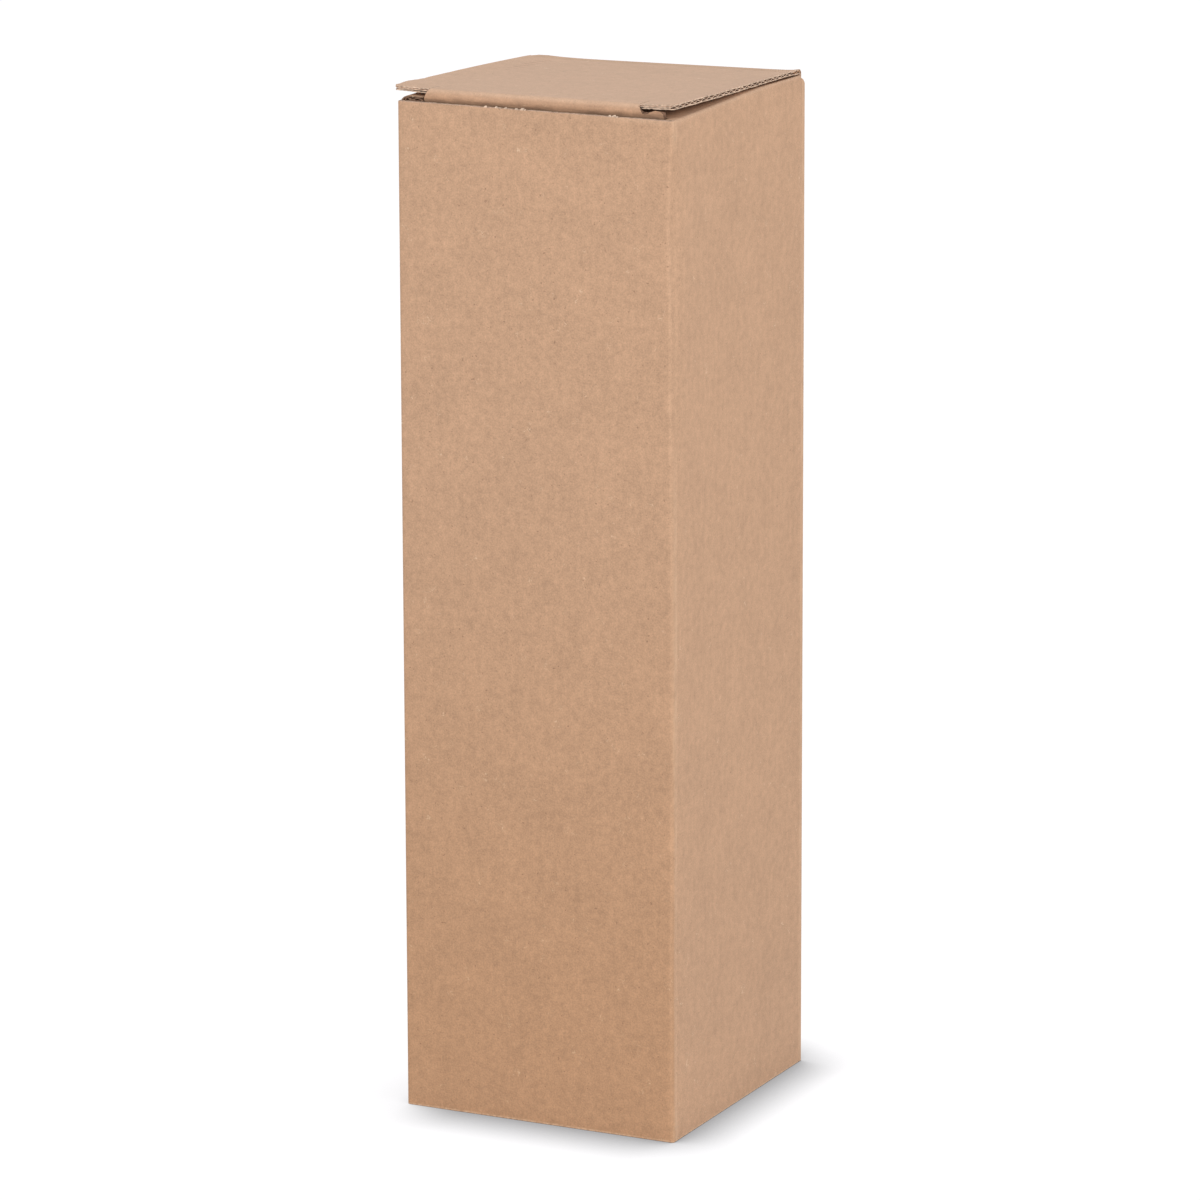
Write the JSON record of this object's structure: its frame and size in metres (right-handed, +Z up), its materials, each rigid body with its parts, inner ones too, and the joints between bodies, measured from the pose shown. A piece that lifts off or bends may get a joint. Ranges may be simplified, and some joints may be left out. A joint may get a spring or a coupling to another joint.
{
  "type": "closed cardboard box",
  "caption": "Tall, near-square carton of fine-fluted brown board, with a snap-lock base and a tuck-in lid that hinges on the back wall.",
  "frame": {"origin": "middle of the footprint, on the underside of the outer base flap, where the box stands", "axes": "+Z up along the tall walls, +Y to the back wall with the lid's hinge, +X to the right seen from the front"},
  "size_m": [0.0823, 0.0824, 0.2782],
  "materials": {
    "kraft_board": "matt uncoated kraft"
  },
  "bodies": {
    "carton": {"carton": "kraft_board"},
    "lid": {"lid": "kraft_board"}
  },
  "joints": [
    {"name": "lid_hinge", "type": "hinge", "parent": "carton", "child": "lid", "pos_m": [0, 0.04076, 0.27676], "axis": [-1, 0, 0], "range_deg": [0, 180]}
  ]
}
